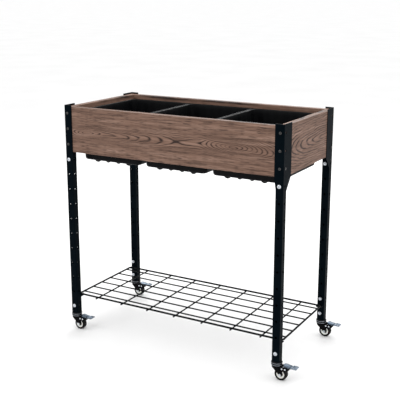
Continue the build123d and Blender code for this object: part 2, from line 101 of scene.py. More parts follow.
def piece_from_grids(name, grids, closed=True, sharp=32.0, values=None, keep=None):
    """One object from grids of shape (rows, columns, 3) in millimetres.

    Points that fall together are welded. On a closed skin the normals are made to face outwards.
    values is an attribute name and one array of numbers per grid; keep is a mask of cells to keep.
    """
    points, quads, start = [], [], 0
    for n, grid in enumerate(grids):
        cells = grid_quads(*grid.shape[:2])
        if keep is not None:
            cells = cells[keep[n].ravel()]
        points.append(grid.reshape(-1, 3) * MM)
        quads.append(cells + start)
        start += grid.shape[0] * grid.shape[1]
    points, quads = np.concatenate(points), np.concatenate(quads)
    mesh = bpy.data.meshes.new(name)
    mesh.vertices.add(len(points))
    mesh.vertices.foreach_set("co", points.ravel())
    mesh.loops.add(quads.size)
    mesh.loops.foreach_set("vertex_index", quads.ravel().astype(np.int32))
    mesh.polygons.add(len(quads))
    mesh.polygons.foreach_set("loop_start", np.arange(0, quads.size, 4, dtype=np.int32))
    if values is not None:
        attribute = mesh.attributes.new(values[0], "FLOAT", "POINT")
        attribute.data.foreach_set("value", np.concatenate([v.ravel() for v in values[1]]).astype(np.float32))
    mesh.update(calc_edges=True)
    work = bmesh.new()
    work.from_mesh(mesh)
    bmesh.ops.remove_doubles(work, verts=work.verts, dist=WELD)
    bmesh.ops.dissolve_degenerate(work, dist=WELD / 10, edges=work.edges)
    loose = [v for v in work.verts if not v.link_faces]
    bmesh.ops.delete(work, geom=loose, context="VERTS")
    if closed:
        bmesh.ops.recalc_face_normals(work, faces=work.faces)
    work.to_mesh(mesh)
    work.free()
    mesh.polygons.foreach_set("use_smooth", np.ones(len(mesh.polygons), bool))
    mesh.set_sharp_from_angle(angle=math.radians(sharp))
    obj = bpy.data.objects.new(name, mesh)
    bpy.context.scene.collection.objects.link(obj)
    return obj


def install(obj, body, finish, replaced):
    """The piece rides on its body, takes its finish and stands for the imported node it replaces."""
    obj.data.materials.clear()
    obj.data.materials.append(finish)
    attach(obj, body)
    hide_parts(replaced)
    print(obj.name, "faces:", len(obj.data.polygons))


print("cells in a tube of 3 rings of 4 points:", len(grid_quads(3, 4)))

# %% [markdown]
# ## Sections and paths
# Two formulas serve most of the pieces: a turned profile, and a rectangle with round corners. Each
# returns whole arrays, so no point is ever placed on its own. A turned piece is made standing on the
# Z axis, and then aimed along its screw hole, axle or wire.


# %% Turned profiles
def circle(around):
    """Angles of one full turn in equal steps, without its end."""
    return np.arange(around) * 2 * math.pi / around


def polar(r, a, z):
    """Points x = r cos a, y = r sin a, at height z; radius, angle and height are spread to one shape."""
    return np.stack(np.broadcast_arrays(r * np.cos(a), r * np.sin(a), z), -1)


def turned(profile, around=48):
    """Radius and height pairs swept once round the Z axis."""
    radius, height = np.array(profile, float).T[..., None]
    return polar(radius, circle(around), height)


def aimed(grid, place, direction):
    """A grid made along +Z, turned so that +Z becomes the given direction, and moved to place."""
    z = np.array(direction, float) / np.linalg.norm(direction)
    side = np.array([0, 0, 1.0]) if abs(z[2]) < 0.9 else np.array([1.0, 0, 0])
    x = np.cross(side, z)
    x /= np.linalg.norm(x)
    y = np.cross(z, x)
    return grid @ np.stack([x, y, z]) + np.array(place, float)


print("a turned cone has", turned([(0, 0), (5, 0), (0, 9)]).shape, "rows, columns and axes")


# %% Rounded rectangles
def rounded_rectangle(half_x, half_y, radius, per_corner=8, per_x=1, per_y=1):
    """Closed loop of points: a quarter circle at each corner, with straight runs cut evenly between.

    The corner centres lie one radius inside each side. per_x and per_y cut the straight sides.
    """
    arcs = []
    for quarter, (sx, sy) in enumerate(((1, 1), (-1, 1), (-1, -1), (1, -1))):
        a = (quarter + np.linspace(0, 1, per_corner)) * math.pi / 2
        arcs.append(np.stack([sx * (half_x - radius) + radius * np.cos(a),
                              sy * (half_y - radius) + radius * np.sin(a)], -1))
    points = []
    for arc, following, cuts in zip(arcs, arcs[1:] + arcs[:1], (per_x, per_y, per_x, per_y)):
        steps = np.linspace(0, 1, cuts + 1)[1:-1, None]
        points += [arc, arc[-1] + (following[0] - arc[-1]) * steps]
    return np.concatenate(points)


print("points round a square:", len(rounded_rectangle(50, 50, 5)))

# %% [markdown]
# ## Finishes
# A real finish never shows one flat colour. Image textures would tie it to a file, so each one is
# made of noise in the object's own metres: a slow mottle for the colour, a finer one for the gloss
# and a very fine one for the bump. First come short helpers that add one node each.


# %% Helpers for nodes
def node(tree, kind, **values):
    """A new node with the given settings: names of inputs in capitals, all others are properties."""
    made = tree.nodes.new(kind)
    for key, value in values.items():
        if key[0].isupper():
            made.inputs[key.replace("_", " ")].default_value = value
        else:
            setattr(made, key, value)
    return made


def ramp(tree, source, stops):
    """Colour ramp on a source socket; stops are (position, colour) pairs."""
    made = tree.nodes.new("ShaderNodeValToRGB")
    band = made.color_ramp
    while len(band.elements) < len(stops):
        band.elements.new(0.5)
    for element, (position, colour) in zip(band.elements, stops):
        element.position = position
        element.color = (*colour, 1.0)
    tree.links.new(source, made.inputs["Fac"])
    return made.outputs["Color"]


def spread(tree, source, low, high):
    """Maps a 0 to 1 socket to the range low to high."""
    made = node(tree, "ShaderNodeMapRange")
    made.inputs["To Min"].default_value = low
    made.inputs["To Max"].default_value = high
    tree.links.new(source, made.inputs["Value"])
    return made.outputs["Result"]


def noise(tree, place, scale, detail=4.0, stretch=(1, 1, 1), roughness=0.5):
    """Noise of a scale per metre, stretched along the axes, on object coordinates."""
    mapping = node(tree, "ShaderNodeMapping", Scale=stretch)
    made = node(tree, "ShaderNodeTexNoise", Scale=scale, Detail=detail, Roughness=roughness)
    tree.links.new(place, mapping.inputs["Vector"])
    tree.links.new(mapping.outputs["Vector"], made.inputs["Vector"])
    return made.outputs["Fac"]


def new_finish(name):
    """An empty shader: its tree, its Principled node and the object coordinates."""
    made = bpy.data.materials.new(name)
    made.use_nodes = True
    tree = made.node_tree
    shader = tree.nodes["Principled BSDF"]
    place = tree.nodes.new("ShaderNodeTexCoord").outputs["Object"]
    return made, tree, shader, place


def bumped(tree, shader, height_source, height):
    """Bump on a shader from a 0 to 1 socket, as high as a height in metres."""
    bump = node(tree, "ShaderNodeBump", Strength=1.0, Distance=height)
    tree.links.new(height_source, bump.inputs["Height"])
    tree.links.new(bump.outputs["Normal"], shader.inputs["Normal"])


print("node helpers ready")

# %% [markdown]
# Most finishes differ only in their colours, gloss and scales, so one function makes them all. The
# mottle goes through a ramp from a dark to a light tone, which leaves the extremes as small patches.


# %% Plain finishes
def plain_finish(name, dark, light, gloss, mottle, tooth, height, metallic=0.0, **sockets):
    """Mottled colour from dark to light, roughness within gloss, and a fine bump of a height in metres.

    mottle and tooth are the scales per metre of the colour noise and of the bump noise.
    """
    made, tree, shader, place = new_finish(name)
    slow = noise(tree, place, mottle, 6.0)
    tree.links.new(ramp(tree, slow, [(0.3, dark), (0.7, light)]), shader.inputs["Base Color"])
    tree.links.new(spread(tree, noise(tree, place, mottle * 2.7, 3.0), *gloss), shader.inputs["Roughness"])
    bumped(tree, shader, noise(tree, place, tooth, 3.0), height)
    shader.inputs["Metallic"].default_value = metallic
    for socket, value in sockets.items():
        shader.inputs[socket.replace("_", " ")].default_value = value
    print("finish:", name)
    return made


# %% [markdown]
# The legs, brackets and rails are powder coated: a baked satin skin with a faint orange peel, black
# with a blue tint that is painted sky reflection, a little greyer where dust has settled. The wires
# carry a glossier dip coat, and the forks
# of the casters a thin stove enamel. Zinc plate is a bright blue-white metal with cloudy patches;
# on the pedals it is duller and bluer, and the screws of the box are darkened to match the legs.

# %% The metal finishes
# both tones are black with a blue tint of painted sky reflection, and the gloss is kept very low
powder_coat = plain_finish("powder_coat", (0.0008, 0.0024, 0.0040), (0.0020, 0.0044, 0.0064),
                           (0.26, 0.40), 22.0, 900.0, 0.00005, Specular_IOR_Level=0.010)
wire_coat = plain_finish("wire_coat", (0.0015, 0.0022, 0.0026), (0.0040, 0.0050, 0.0054),
                         (0.22, 0.34), 30.0, 700.0, 0.00003, Specular_IOR_Level=0.04)
fork_enamel = plain_finish("fork_enamel", (0.0012, 0.0012, 0.0014), (0.0030, 0.0030, 0.0034),
                           (0.20, 0.34), 60.0, 1200.0, 0.00003, Specular_IOR_Level=0.03)
dark_screw = plain_finish("dark_screw", (0.035, 0.035, 0.036), (0.10, 0.098, 0.096),
                          (0.30, 0.46), 220.0, 1500.0, 0.00002, metallic=1.0)
zinc_plate = plain_finish("zinc_plate", (0.50, 0.53, 0.57), (0.72, 0.75, 0.79),
                          (0.20, 0.38), 160.0, 1500.0, 0.00002, metallic=1.0)
pedal_plate = plain_finish("pedal_plate", (0.030, 0.048, 0.074), (0.17, 0.21, 0.255),
                           (0.20, 0.34), 110.0, 1500.0, 0.00002, metallic=1.0)

# %% [markdown]
# The ball races are black enamel, and the light that catches the lips of the two pressed cups is a
# painted highlight. The finish reads the height on the object: two narrow bands of steel colour, with
# everything between them black. Heights stay the same when the caster swivels, so the bands do too.

# %% Black races with two painted highlight bands
def race_finish(name, lips, half):
    """Black enamel with painted highlight bands of steel colour: each lip is a height in mm, half is half the
    width of a band.
    """
    made, tree, shader, place = new_finish(name)
    height = node(tree, "ShaderNodeSeparateXYZ")
    tree.links.new(place, height.inputs[0])
    bands = node(tree, "ShaderNodeMath", operation="MAXIMUM")
    for lip, socket in zip(lips, bands.inputs):
        near = node(tree, "ShaderNodeMath", operation="COMPARE")
        near.inputs[1].default_value, near.inputs[2].default_value = lip * MM, half * MM
        tree.links.new(height.outputs["Z"], near.inputs[0])
        tree.links.new(near.outputs[0], socket)
    # the bands, broken up by noise, are a painted highlight: metallic steel colour where light catches the
    # lips
    painted_glint = node(tree, "ShaderNodeMath", operation="MULTIPLY")
    glint_noise = noise(tree, place, 260.0, 4.0)
    tree.links.new(bands.outputs[0], painted_glint.inputs[0])
    tree.links.new(spread(tree, glint_noise, 0.5, 1.0), painted_glint.inputs[1])
    enamel_to_glint = [(0.0, (0.003, 0.003, 0.0035)), (1.0, (0.42, 0.45, 0.50))]
    tree.links.new(ramp(tree, painted_glint.outputs[0], enamel_to_glint), shader.inputs["Base Color"])
    tree.links.new(painted_glint.outputs[0], shader.inputs["Metallic"])
    tree.links.new(spread(tree, glint_noise, 0.22, 0.40), shader.inputs["Roughness"])
    shader.inputs["Specular IOR Level"].default_value = 0.08
    return made


race_top = box_mm("race_front_left")[1][2]
lips = (race_top - 2.4, race_top + 3.8)
lip_half = 0.6
black_race = race_finish("black_race", lips, lip_half)
print("races: lips at", np.round(lips, 1), "mm")

# %% [markdown]
# The trays are thin moulded plastic with a matt grained skin, the sockets a harder plastic, the
# wheel cores off-white nylon with a soft sheen, and tyres and brake shoes are plain black rubber
# that greys with dust.

# %% The plastic and rubber finishes
tray_plastic = plain_finish("tray_plastic", (0.0020, 0.0022, 0.0026), (0.0052, 0.0055, 0.0060),
                            (0.36, 0.52), 14.0, 1300.0, 0.00006, Specular_IOR_Level=0.05)
socket_plastic = plain_finish("socket_plastic", (0.003, 0.003, 0.0033), (0.006, 0.006, 0.0064),
                              (0.36, 0.48), 40.0, 1400.0, 0.00004, Specular_IOR_Level=0.15)
wheel_nylon = plain_finish("wheel_nylon", (0.70, 0.69, 0.64), (0.84, 0.83, 0.78),
                           (0.28, 0.42), 90.0, 900.0, 0.00003, Subsurface_Weight=0.08)
tyre_rubber = plain_finish("tyre_rubber", (0.0022, 0.0022, 0.0022), (0.0070, 0.0068, 0.0066),
                           (0.46, 0.66), 120.0, 1800.0, 0.00005, Specular_IOR_Level=0.08)
shoe_rubber = plain_finish("shoe_rubber", (0.0025, 0.0025, 0.0025), (0.0065, 0.0065, 0.0062),
                           (0.50, 0.66), 150.0, 1800.0, 0.00005, Specular_IOR_Level=0.14)

# %% [markdown]
# ## The wood-look boards
# The box is made of extruded composite, a mix of wood flour and plastic, rolled between hot drums
# that press a flat-sawn grain into it. A bump texture could fake that, but the grooves catch light
# at the edges of the boards, so here they are real relief.
#
# On a flat-sawn plank the rings of the tree meet the face in nested arches. If the pith lies d
# below the face and zc up the board, a ring of radius r shows where (z - zc)^2 + d^2 = r^2. When d
# changes along the board these curves close into arches and eyes, which is the whole trick: the
# grain is the distance to a wandering pith, divided by the width of a ring.


# %% Smooth noise
def value_noise(u, v, seed):
    """Smooth noise from -1 to 1: random heights on a lattice, joined by the S-curve 3t^2 - 2t^3."""
    size = 256
    table = np.random.default_rng(seed).random((size, size)) * 2 - 1
    iu, iv = np.floor(u).astype(int), np.floor(v).astype(int)
    fu, fv = u - iu, v - iv
    fu, fv = fu * fu * (3 - 2 * fu), fv * fv * (3 - 2 * fv)
    low = table[iu % size, iv % size] * (1 - fu) + table[(iu + 1) % size, iv % size] * fu
    high = table[iu % size, (iv + 1) % size] * (1 - fu) + table[(iu + 1) % size, (iv + 1) % size] * fu
    return low * (1 - fv) + high * fv


print("noise at a quarter cell:", np.round(value_noise(np.array([0.25]), np.array([0.25]), 1), 3))

# %% [markdown]
# The grain uses eight kinds of that noise. They bend the arches, break the lines and add the streaks.

# %% The grain formula
READINGS = (-9.0, -4.5, 0.0, 4.5, 9.0)  # mm along the board, averaged to round a bend of the pith
CELLS = dict(wander=(150, np.inf), wave=(60, 34), ripple=(15, 8), drift=(70, 14), breaks=(30, 5),
             fibre=(30, 1.3), dash=(30, 1.7), fine=(17, 1.2))  # noise cells in mm: along, up


def pith_depth(s, knots):
    """Depth of the pith along the board: straight lines between (place, depth) knots, softly rounded."""
    places, depths = np.array(knots, float).T
    return sum(np.interp(s + shift, places, depths) for shift in READINGS) / len(READINGS)


def layer(kind, s, z, seed):
    """Noise of one kind in CELLS, from -1 to 1; each kind has the random table of its own place there."""
    along, up = CELLS[kind]
    return value_noise(s / along, z / up, seed + list(CELLS).index(kind))


def grain(s, z, height, ring, knots, seed, heart_share):
    """Groove strength from 0 to 1 at a place s along and z up the face, both in millimetres.

    ring phase = sqrt((z - zc)^2 + d^2) / ring, with z bent a little by noise. A groove is the narrow
    top of a cosine of that phase, broken up along its length. It is deep round the heart, a band that
    is heart_share of the height, and faint beyond, where fine and dash add short streaks instead.
    """
    pith_level = 0.49 * height + 4.0 * layer("wander", s, z, seed)
    rise = z - pith_level + 2.6 * layer("wave", s, z, seed) + 1.3 * layer("ripple", s, z, seed)
    reach = np.sqrt(rise ** 2 + pith_depth(s, knots) ** 2)
    phase = reach / ring + 0.22 * layer("drift", s, z, seed)
    line = (0.5 + 0.5 * np.cos(2 * math.pi * phase)) ** 5
    line *= np.clip(0.78 + 0.55 * layer("breaks", s, z, seed), 0, 1)
    heart = np.exp(-(rise / (heart_share * height)) ** 2)
    fibre = 0.5 + 0.5 * layer("fibre", s, z, seed)
    dash = np.clip(layer("dash", s, z, seed) * 2.0 - 0.5, 0, 1)
    fine = np.clip(layer("fine", s, z, seed) * 1.9 - 0.35, 0, 1)
    arches = 1.2 * line * (0.30 + 0.85 * heart)
    streaks = 0.46 * (dash + fine) * (1 - 0.72 * heart)
    return np.clip(arches + streaks + 0.14 * fibre, 0, 1)


print("widest noise cell:", CELLS["wander"][0], "mm, finest:", CELLS["fine"][1], "mm")

# %% [markdown]
# The section of a board is a rectangle with lightly rounded edges. It is carried along the board,
# and every point of it sinks into the face by the groove depth. Sinking only inwards keeps the board
# inside its true size.

# %% A board as a carried section
groove_depth = 0.6
edge_radius = 1.5
slice_step = 2.5  # mm between two sections
side_points = (146, 10, 36, 10)  # points on the outer face, top, inner face and bottom
level_pith = [(0, 60), (1, 60)]  # straight grain, for the inner face,
inner_seed = 20  # which has random tables of its own
drum_repeat = 97  # mm round the drum that presses the inner face
narrow_heart, broad_heart = 0.17, 0.42  # shares of a board's height


def board_section(thickness, height):
    """Loop of (depth from the outer face, height) and of normals round a rectangle with round corners."""
    corner = np.linspace(0, math.pi / 2, 5)[1:-1]
    r = edge_radius
    sides = (((0, r), (0, height - r), (-1, 0)), ((r, height), (thickness - r, height), (0, 1)),
             ((thickness, height - r), (thickness, r), (1, 0)), ((thickness - r, 0), (r, 0), (0, -1)))
    centres = ((r, height - r), (thickness - r, height - r), (thickness - r, r), (r, r))
    starts = (math.pi, math.pi / 2, 0, -math.pi / 2)
    places, normals = [], []
    for (a, b, normal), centre, count, start in zip(sides, centres, side_points, starts):
        t = np.linspace(0, 1, count)[:, None]
        round_corner = np.stack([np.cos(start - corner), np.sin(start - corner)], -1)
        places += [np.array(a) + (np.array(b) - np.array(a)) * t, np.array(centre) + r * round_corner]
        normals += [np.repeat(np.array([normal], float), count, 0), round_corner]
    return np.concatenate(places), np.concatenate(normals)


def make_board(name, out_axis, out_sign, ring, knots, seed, heart_share):
    """Board skin: the section at every step along its length, each point sunk along its normal.

    sink = groove depth * grain. On the outer face the grain is read at the height of the point, and on
    the top and bottom at the height plus the depth, so the grooves run on over the edges.
    """
    low, high = box_mm(name)
    along = 1 - out_axis
    length, height = high[along] - low[along], high[2] - low[2]
    thickness = high[out_axis] - low[out_axis]
    section, normal = board_section(thickness, height)
    s = np.linspace(0, length, int(length / slice_step) + 1)
    ss, depth = np.meshgrid(s, section[:, 0], indexing="ij")
    zz = np.meshgrid(s, section[:, 1], indexing="ij")[1]
    outer_read = zz + depth * (np.abs(normal[:, 1]) > 0.5)
    inner_read = np.broadcast_to(2 * height - section[:, 1] + thickness, ss.shape) % drum_repeat
    strength = np.where(np.broadcast_to(section[:, 0] > thickness / 2, ss.shape),
                        grain(ss, inner_read, height, ring, level_pith, seed + inner_seed, narrow_heart),
                        grain(ss, outer_read, height, ring, knots, seed, heart_share))
    sink = groove_depth * strength
    grid = np.zeros(ss.shape + (3,))
    grid[..., along] = low[along] + ss
    outer_face = high[out_axis] if out_sign > 0 else low[out_axis]
    grid[..., out_axis] = outer_face - out_sign * (depth - sink * normal[:, 0])
    grid[..., 2] = low[2] + zz - sink * normal[:, 1]
    first, last = (grid[end].mean(0, keepdims=True).repeat(len(section), 0)[None] for end in (0, -1))
    grid = np.concatenate([first, grid, last])
    strength = np.concatenate([strength[:1], strength, strength[-1:]])
    return piece_from_grids(name + "_embossed", [grid], sharp=50.0, values=("groove", [strength]))


print("points round a board:", len(board_section(20.0, 145.0)[0]))

# %% [markdown]
# The colour follows the relief: the drums leave the grooves darker and the ridges paler and a bit
# worn. The shader reads the groove strength that was stored on the points, adds slow streaks along
# the board and a fine matt tooth.


# %% The composite finish
ridge_tones = [(0.30, (0.122, 0.067, 0.046)), (0.52, (0.196, 0.112, 0.079)), (0.74, (0.300, 0.186, 0.139))]
groove_tones = [(0.3, (0.014, 0.006, 0.004)), (0.7, (0.030, 0.014, 0.009))]


def mixed(tree, share, colour_a, colour_b, target):
    """Mix of two colours into a socket: a where the share is 0, b where it is 1; b may be a constant."""
    mix = node(tree, "ShaderNodeMix", data_type="RGBA")
    factor, first, second, result = mix.inputs[0], mix.inputs[6], mix.inputs[7], mix.outputs[2]
    tree.links.new(share, factor)
    tree.links.new(colour_a, first)
    if isinstance(colour_b, tuple):
        second.default_value = colour_b
    else:
        tree.links.new(colour_b, second)
    tree.links.new(result, target)


def composite_finish(name, stretch, painted_shade_tint):
    """Brown composite: ridge tones times a tint, mixed to groove tones by the stored groove strength; a tint
    below 1 is painted shade.

    stretch draws the streaks out along the board: a small number along one axis, 1 along the others.
    """
    made, tree, shader, place = new_finish(name)
    groove = node(tree, "ShaderNodeAttribute", attribute_name="groove").outputs["Fac"]
    streak = noise(tree, place, 120.0, 5.0, stretch, 0.6)
    patch = noise(tree, place, 9.0, 3.0, (0.35, 0.35, 1))
    ridge = ramp(tree, streak, [(stop, [painted_shade_tint * part for part in tone]) for stop, tone in ridge_tones])
    mixed(tree, groove, ridge, ramp(tree, patch, groove_tones), shader.inputs["Base Color"])
    shader.inputs["Specular IOR Level"].default_value = 0.25
    tree.links.new(spread(tree, streak, 0.72, 0.52), shader.inputs["Roughness"])
    bumped(tree, shader, noise(tree, place, 900.0, 3.0, (0.2, 0.2, 1)), 0.00012)
    return made


composite_long = composite_finish("composite_long", (0.06, 1, 1), 1.0)
# the end boards are painted a little darker, at 0.97, as shade on the end faces
composite_end = composite_finish("composite_end", (1, 0.06, 1), 0.97)
print("composite finishes made, lightest ridge:", ridge_tones[-1][1])

# %% [markdown]
# The pith comes nearest to the face where the arches meet in an eye. Each board gets its own path of
# the pith, as (place along the board, depth) knots in mm. On the short boards the rings are wider and
# the bold part is taller.

# %% The four boards
ring_front, ring_end = 3.3, 6.5
front_pith = [(0, 17), (84, 0.5), (150, 8), (230, 12), (325, 20), (410, 27), (500, 23), (600, 0.5),
              (712, 24), (757, 32)]
back_pith = [(0, 24), (150, 3), (300, 16), (420, 25), (560, 1), (757, 18)]
end_pith = [(0, 46), (110, 24), (170, 15), (270, 3), (333, 0)]
boards = (("board_front", 1, -1, front_pith, 11), ("board_back", 1, 1, back_pith, 61),
          ("board_right", 0, 1, end_pith, 31), ("board_left", 0, -1, end_pith, 47))
for name, out_axis, out_sign, knots, seed in boards:
    ring, heart_share, finish = ((ring_end, broad_heart, composite_end),
                                 (ring_front, narrow_heart, composite_long))[out_axis]
    board = make_board(name, out_axis, out_sign, ring, knots, seed, heart_share)
    install(board, ROOT, finish, name)

# %% [markdown]
# ## The lift-out trays
# Each tray is a thin moulded tub: a flat rim with a turned-down lip, walls that lean in towards the
# floor and have shallow upright flutes to stiffen them, and a floor with hollow feet and four drain
# holes. A tub could be cut out of a solid block, but a real one is a sheet of even thickness, so it
# is made as one sheet of loops, from the middle of the floor out to the lip, and then thickened.

# %% Sizes of a tray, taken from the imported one
tray_low, tray_high = box_mm("tray_middle")
rim_half = (tray_high - tray_low)[:2] / 2
rim_width = np.array([6.0, 13.0])  # from the body out to the lip, along X and Y
body_half = rim_half - rim_width
lean = np.array([5.0, 9.0])  # how far the walls come in from the top to the floor
wall_thickness = 2.2
foot_height, nub_height = 7.0, 5.5
floor_level = tray_low[2] + foot_height
flute_pitch, flute_depth = 32.0, 1.6
corner_gap, fade = 6.0, 12.0  # flutes end this far from a corner, and fade over 12 mm
loop_cuts = dict(per_corner=14, per_x=56, per_y=76)
print("tray body, mm:", np.round(2 * body_half, 1), "floor level:", round(floor_level, 1))


def tray_loop(half, radius, flutes=0.0):
    """Rounded rectangle whose sides dip inwards in soft even waves.

    dip = flutes * (half - half the cosine of the place over the pitch), and none near the corners.
    """
    loop = rounded_rectangle(*half, radius, **loop_cuts)
    off_side = np.clip((half - radius - corner_gap - np.abs(loop)) / fade, 0, 1)[:, ::-1]
    wave = (0.5 - 0.5 * np.cos(loop * 2 * math.pi / flute_pitch))[:, ::-1]
    dip = flutes * off_side * wave * (off_side[:, ::-1] == 0)
    return loop - np.sign(loop) * dip


# %% [markdown]
# The floor is the same loop shrunk step by step to its middle, with its height given by the feet:
# a foot is a smooth bump of the distance to its centre. Points that come near a drain are pulled
# onto its circle, so the hole that is left when its cells are dropped has a clean round edge.


# %% One tray as a sheet of loops
floor_half = body_half - lean
floor_bend = 5.0  # radius where the floor turns up into the walls
foot_line = floor_half[1] - 13.0  # the row of feet and nubs along each long edge
foot_x, foot_radius, nub_x, nub_radius = 60.0, 9.0, 20.0, 6.5
drain_x, drain_y, drain_radius = 40.0, floor_half[1] / 2, 4.0
rib_x, rib_half_width, rib_height = 78.0, 4.0, 2.0
rib_end = floor_half[1] - 34.0
floor_corner, wall_corner, shoulder_corner, rim_corner = 9.0, 14.0, 17.0, 16.0
shoulder = ((0.6, 1.6), (1.6, 2.6), (3.0, 3.0))  # out and up, from the wall to the rim
lip = ((1.4, 0.0), (0.5, 0.4), (0.0, 1.4), (0.0, 4.2))  # in and down, round the edge of the rim
drain_reach = 1.9  # points this near to the circle of a drain move onto it


def level_loop(loop, height):
    """The points of a flat loop at one height."""
    return np.column_stack([loop, np.full(len(loop), height)])


def tray_rows():
    """Loops from the floor's middle to the lip, and how many of them lie on the floor.

    floor: one loop times shares from 0 to 1; bend: a quarter circle; wall: half sizes and heights in
    proportion, with flutes that swell as the root of a sine; then the shoulder and the lip.
    """
    flat = rounded_rectangle(*(floor_half - floor_bend), floor_corner, **loop_cuts)
    rows = [level_loop(flat * share, floor_level) for share in np.linspace(0, 1, 64)[:-1]]
    floor_rows = len(rows)
    for a in np.linspace(0, math.pi / 2, 6):
        out = floor_bend * math.sin(a)
        rows.append(level_loop(tray_loop(floor_half - floor_bend + out, floor_corner + out),
                               floor_level + floor_bend * (1 - math.cos(a))))
    shoulder_height = shoulder[-1][1]
    top, foot = tray_high[2] - wall_thickness - shoulder_height, floor_level + floor_bend
    for t in np.linspace(0, 1, 14)[1:]:
        swell = flute_depth * math.sin(math.pi * t) ** 0.5
        loop = tray_loop(floor_half + lean * t, wall_corner + 2 * t, swell)
        rows.append(level_loop(loop, foot + (top - foot) * t))
    rows += [level_loop(tray_loop(body_half + out, shoulder_corner), top + up) for out, up in shoulder]
    rows += [level_loop(tray_loop(rim_half - inset, rim_corner - inset), top + shoulder_height - drop)
             for inset, drop in lip]
    return np.stack(rows), floor_rows


def tray_sheet(centre):
    """The rows with feet, ribs and drains, moved to a centre along X, and the mask of cells to keep.

    foot: height * (1 - (r / R)^2)^0.6, down. rib: a quarter sine of the nearness to its line, up.
    """
    grid, floor_rows = tray_rows()
    floor = grid[:floor_rows]
    feet = [(sx * foot_x, sy * foot_line, foot_height, foot_radius) for sx, sy in SIGNS.values()]
    feet += [(sx * nub_x, sy * foot_line, nub_height, nub_radius) for sx, sy in SIGNS.values()]
    for x, y, height, radius in feet:
        r = np.hypot(floor[..., 0] - x, floor[..., 1] - y) / radius
        floor[..., 2] -= height * np.clip(1 - r ** 2, 0, 1) ** 0.6
    rib = sum(np.clip(1 - np.abs(np.abs(floor[..., 0]) - x) / rib_half_width, 0, 1) for x in (rib_x, 0))
    inside = np.abs(floor[..., 1]) < rib_end
    floor[..., 2] += rib_height * np.sin(np.clip(rib, 0, 1) * math.pi / 2) * inside
    keep = np.ones((grid.shape[0] - 1, grid.shape[1]), bool)
    middles = (grid[:-1] + grid[1:] + np.roll(grid, -1, 1)[:-1] + np.roll(grid, -1, 1)[1:]) / 4
    for place in np.array(list(SIGNS.values())) * (drain_x, drain_y):
        away = grid[..., :2] - place
        r = np.linalg.norm(away, axis=-1, keepdims=True)
        near = (np.abs(r - drain_radius) < drain_reach) & (np.arange(len(grid)) < floor_rows)[:, None, None]
        on_circle = place + away / np.maximum(r, 1e-6) * drain_radius
        grid[..., :2] = np.where(near, on_circle, grid[..., :2])
        keep &= np.linalg.norm(middles[..., :2] - place, axis=-1) > drain_radius
    grid[..., 0] += centre
    return grid, keep


for side in ("left", "middle", "right"):
    name = "tray_" + side
    low, high = box_mm(name)
    grid, keep = tray_sheet((low[0] + high[0]) / 2)
    tub = piece_from_grids(name + "_moulded", [grid], closed=False, keep=[keep], sharp=40.0)
    wall = tub.modifiers.new("wall", "SOLIDIFY")
    wall.thickness = wall_thickness * MM
    wall.offset = 1.0  # the wall grows up and inwards from the sheet
    install(tub, "lift_out_" + side, tray_plastic, name)

# %% [markdown]
# ## Screws, bolts and nuts
# Bought fasteners give the scale away, so they get their real shape. A pan head could be cut with a
# boolean, but it is simply a dome with a depth taken off it: two crossed slots with sloping walls.
# The same formula makes the small screws and the big bolts.


# %% Pan head with a cross recess
def pan_head(head, height, shank, length, rings=20, around=48):
    """Closed skin of a pan-head screw whose seat is at z = 0 and whose shank runs to +length.

    dome: a quarter of the height at the rim, and above it the rest * (1 - (r / R)^2.6)^0.5. Recess:
    two crossed slots with sloping walls and ends, deepest in the middle.
    """
    radius, s = head / 2, shank / 2
    r = radius * np.linspace(0, 1, rings)[:, None] ** 0.8
    x, y = r * np.cos(circle(around)), r * np.sin(circle(around))
    dome = height * (0.25 + 0.75 * np.clip(1 - (r / radius) ** 2.6, 0, 1) ** 0.5)
    arm, half = 0.58 * radius, 0.13 * radius  # half length and half width of a slot
    end_slope, wall_slope = 0.2 * arm, 0.3 * half
    slots = [np.clip((half - np.abs(v)) / wall_slope, 0, 1) * np.clip((arm - np.abs(u)) / end_slope, 0, 1)
             for u, v in ((x, y), (y, x))]
    recess = 0.62 * height * np.maximum(*slots) * (1.15 - 0.5 * r / arm)
    top = polar(r, circle(around), recess - dome)
    point = 0.6 * s
    stem = turned([(radius, 0), (s, 0), (s, length - point), (s / 2, length), (0, length)], around)
    return np.concatenate([top, stem])


def hexagon_nut(flats, height, bore, around=48):
    """Nut along +Z: the radius of a hexagon, flats / (2 cos of the angle from a flat), with coned ends."""
    cone, lead = 0.9, 0.4  # mm: of the corners, and of the bore
    a = circle(around)
    hexagon = flats / 2 / np.cos((a + math.pi / 6) % (math.pi / 3) - math.pi / 6)
    narrow, hole = flats / 2 * 1.02, bore / 2
    outside = ((0, narrow), (cone, flats), (height - cone, flats), (height, narrow))
    inside = ((height, hole + lead), (height - lead, hole), (lead, hole), (0, hole + lead))
    rows = [polar(np.minimum(hexagon, limit), a, z) for z, limit in outside]
    rows += [polar(r, a, z) for z, r in inside]
    return np.stack(rows + rows[:1])


print("rows, columns and axes of a nut:", hexagon_nut(10.0, 5.0, 6.0).shape)

# %% [markdown]
# The places come from the legs: every leg has its holes 50 mm apart, the first 25 mm below its top.
# Three long screws go through the front or back of each leg into the box, a short one through its
# side. A bolt just under the box holds a bracket, and the bolts near the floor hold the shelf clips.

# %% Where the holes are
leg_low, leg_high = box_mm("leg_front_right")
tube, hole_pitch, first_hole = 24.0, 50.0, 25.0
uneven = 2.4  # radians from one fastener to the next
outer = np.array([leg_high[0], -leg_low[1]])  # outer faces of the legs, on the + side
post = outer - tube / 2  # middles of their tubes


def hole_level(number):
    """Height of a numbered hole of a leg; number 0 is the top one."""
    return leg_high[2] - first_hole - hole_pitch * number


